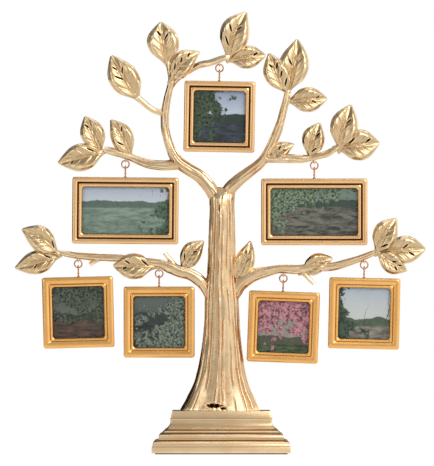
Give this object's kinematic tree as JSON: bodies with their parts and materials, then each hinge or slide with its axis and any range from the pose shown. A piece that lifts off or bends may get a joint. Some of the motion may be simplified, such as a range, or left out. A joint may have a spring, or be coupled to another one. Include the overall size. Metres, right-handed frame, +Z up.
{
  "type": "photo tree stand",
  "caption": "Cast tree on a stepped plinth, whose boughs carry small hanging picture frames on rings and eye hooks, with glazed prints and turn-button backs.",
  "frame": {"origin": "on the surface the stand rests on, under the middle of the plinth", "axes": "+Z up along the trunk, front of the pictures towards -Y, +X to the viewer's right"},
  "size_m": [0.2795, 0.064, 0.3001],
  "materials": {
    "champagne_gold": "satin champagne-gold plate over a cast metal, bright on its ridges",
    "frame_gold": "polished warm gold plate",
    "copper_gilt": "polished rose-gold plated wire",
    "clear_glass": "clear polished glass",
    "photo_print": "gloss colour print",
    "backing_card": "dark matt hardboard",
    "black_felt": "black felt",
    "screw_steel": "zinc-plated steel"
  },
  "bodies": {
    "stand": {"trunk": "champagne_gold", "left_limb": "champagne_gold", "right_limb": "champagne_gold", "left_bough": "champagne_gold", "right_bough": "champagne_gold", "crown_bough": "champagne_gold", "lower_left_bough": "champagne_gold", "lower_right_bough": "champagne_gold", "plinth": "champagne_gold", "base_felt": "black_felt", "trunk_screws": "screw_steel"},
    "top_hanger": {"top_ring": "copper_gilt"},
    "top_frame": {"top_hook": "copper_gilt", "top_bezel": "frame_gold", "top_pane": "clear_glass", "top_print": "photo_print", "top_backing": "backing_card"},
    "top_catch": {"top_turn_button": "frame_gold"},
    "left_wide_hanger": {"left_wide_ring": "copper_gilt"},
    "left_wide_frame": {"left_wide_hook": "copper_gilt", "left_wide_bezel": "frame_gold", "left_wide_pane": "clear_glass", "left_wide_print": "photo_print", "left_wide_backing": "backing_card"},
    "left_wide_catch": {"left_wide_turn_button": "frame_gold"},
    "right_wide_hanger": {"right_wide_ring": "copper_gilt"},
    "right_wide_frame": {"right_wide_hook": "copper_gilt", "right_wide_bezel": "frame_gold", "right_wide_pane": "clear_glass", "right_wide_print": "photo_print", "right_wide_backing": "backing_card"},
    "right_wide_catch": {"right_wide_turn_button": "frame_gold"},
    "lower_left_outer_hanger": {"lower_left_outer_ring": "copper_gilt"},
    "lower_left_outer_frame": {"lower_left_outer_hook": "copper_gilt", "lower_left_outer_bezel": "frame_gold", "lower_left_outer_pane": "clear_glass", "lower_left_outer_print": "photo_print", "lower_left_outer_backing": "backing_card"},
    "lower_left_outer_catch": {"lower_left_outer_turn_button": "frame_gold"},
    "lower_left_inner_hanger": {"lower_left_inner_ring": "copper_gilt"},
    "lower_left_inner_frame": {"lower_left_inner_hook": "copper_gilt", "lower_left_inner_bezel": "frame_gold", "lower_left_inner_pane": "clear_glass", "lower_left_inner_print": "photo_print", "lower_left_inner_backing": "backing_card"},
    "lower_left_inner_catch": {"lower_left_inner_turn_button": "frame_gold"},
    "lower_right_inner_hanger": {"lower_right_inner_ring": "copper_gilt"},
    "lower_right_inner_frame": {"lower_right_inner_hook": "copper_gilt", "lower_right_inner_bezel": "frame_gold", "lower_right_inner_pane": "clear_glass", "lower_right_inner_print": "photo_print", "lower_right_inner_backing": "backing_card"},
    "lower_right_inner_catch": {"lower_right_inner_turn_button": "frame_gold"},
    "lower_right_outer_hanger": {"lower_right_outer_ring": "copper_gilt"},
    "lower_right_outer_frame": {"lower_right_outer_hook": "copper_gilt", "lower_right_outer_bezel": "frame_gold", "lower_right_outer_pane": "clear_glass", "lower_right_outer_print": "photo_print", "lower_right_outer_backing": "backing_card"},
    "lower_right_outer_catch": {"lower_right_outer_turn_button": "frame_gold"}
  },
  "joints": [
    {"name": "top_sway", "type": "hinge", "parent": "stand", "child": "top_hanger", "pos_m": [-0.0012, 0, 0.26421], "axis": [0, 1, 0], "range_deg": [-2.5, 2.5]},
    {"name": "top_swing", "type": "hinge", "parent": "top_hanger", "child": "top_frame", "pos_m": [-0.0012, 0, 0.25911], "axis": [0.9998, 0, -0.0175], "range_deg": [-60, 60]},
    {"name": "top_turn", "type": "hinge", "parent": "top_frame", "child": "top_catch", "pos_m": [-0.00158, 0.00252, 0.20699], "axis": [0, 1, 0], "range_deg": [0, 90]},
    {"name": "left_wide_sway", "type": "hinge", "parent": "stand", "child": "left_wide_hanger", "pos_m": [-0.06515, 0, 0.19887], "axis": [0, 1, 0], "range_deg": [-2.5, 2.5]},
    {"name": "left_wide_swing", "type": "hinge", "parent": "left_wide_hanger", "child": "left_wide_frame", "pos_m": [-0.06515, 0, 0.19377], "axis": [1, 0, -0.0087], "range_deg": [-60, 60]},
    {"name": "left_wide_turn", "type": "hinge", "parent": "left_wide_frame", "child": "left_wide_catch", "pos_m": [-0.06533, 0.00252, 0.14455], "axis": [0, 1, 0], "range_deg": [0, 90]},
    {"name": "right_wide_sway", "type": "hinge", "parent": "stand", "child": "right_wide_hanger", "pos_m": [0.06325, 0, 0.19803], "axis": [0, 1, 0], "range_deg": [-2.5, 2.5]},
    {"name": "right_wide_swing", "type": "hinge", "parent": "right_wide_hanger", "child": "right_wide_frame", "pos_m": [0.06325, 0, 0.19293], "axis": [1, 0, 0], "range_deg": [-60, 60]},
    {"name": "right_wide_turn", "type": "hinge", "parent": "right_wide_frame", "child": "right_wide_catch", "pos_m": [0.06325, 0.00252, 0.14371], "axis": [0, 1, 0], "range_deg": [0, 90]},
    {"name": "lower_left_outer_sway", "type": "hinge", "parent": "stand", "child": "lower_left_outer_hanger", "pos_m": [-0.09721, 0, 0.13117], "axis": [0, 1, 0], "range_deg": [-2.5, 2.5]},
    {"name": "lower_left_outer_swing", "type": "hinge", "parent": "lower_left_outer_hanger", "child": "lower_left_outer_frame", "pos_m": [-0.09721, 0, 0.12607], "axis": [0.9997, 0, 0.0244], "range_deg": [-60, 60]},
    {"name": "lower_left_outer_turn", "type": "hinge", "parent": "lower_left_outer_frame", "child": "lower_left_outer_catch", "pos_m": [-0.09668, 0.00252, 0.07394], "axis": [0, 1, 0], "range_deg": [0, 90]},
    {"name": "lower_left_inner_sway", "type": "hinge", "parent": "stand", "child": "lower_left_inner_hanger", "pos_m": [-0.04221, 0, 0.12455], "axis": [0, 1, 0], "range_deg": [-2.5, 2.5]},
    {"name": "lower_left_inner_swing", "type": "hinge", "parent": "lower_left_inner_hanger", "child": "lower_left_inner_frame", "pos_m": [-0.04221, 0, 0.11945], "axis": [1, 0, 0], "range_deg": [-60, 60]},
    {"name": "lower_left_inner_turn", "type": "hinge", "parent": "lower_left_inner_frame", "child": "lower_left_inner_catch", "pos_m": [-0.04221, 0.00252, 0.06733], "axis": [0, 1, 0], "range_deg": [0, 90]},
    {"name": "lower_right_inner_sway", "type": "hinge", "parent": "stand", "child": "lower_right_inner_hanger", "pos_m": [0.04221, 0, 0.12121], "axis": [0, 1, 0], "range_deg": [-2.5, 1.5]},
    {"name": "lower_right_inner_swing", "type": "hinge", "parent": "lower_right_inner_hanger", "child": "lower_right_inner_frame", "pos_m": [0.04221, 0, 0.11611], "axis": [0.9993, 0, -0.0366], "range_deg": [-60, 60]},
    {"name": "lower_right_inner_turn", "type": "hinge", "parent": "lower_right_inner_frame", "child": "lower_right_inner_catch", "pos_m": [0.04142, 0.00252, 0.06398], "axis": [0, 1, 0], "range_deg": [0, 90]},
    {"name": "lower_right_outer_sway", "type": "hinge", "parent": "stand", "child": "lower_right_outer_hanger", "pos_m": [0.09721, 0, 0.13045], "axis": [0, 1, 0], "range_deg": [-2.5, 2.5]},
    {"name": "lower_right_outer_swing", "type": "hinge", "parent": "lower_right_outer_hanger", "child": "lower_right_outer_frame", "pos_m": [0.09721, 0, 0.12535], "axis": [0.9997, 0, -0.0227], "range_deg": [-60, 60]},
    {"name": "lower_right_outer_turn", "type": "hinge", "parent": "lower_right_outer_frame", "child": "lower_right_outer_catch", "pos_m": [0.09672, 0.00252, 0.07323], "axis": [0, 1, 0], "range_deg": [0, 90]}
  ]
}
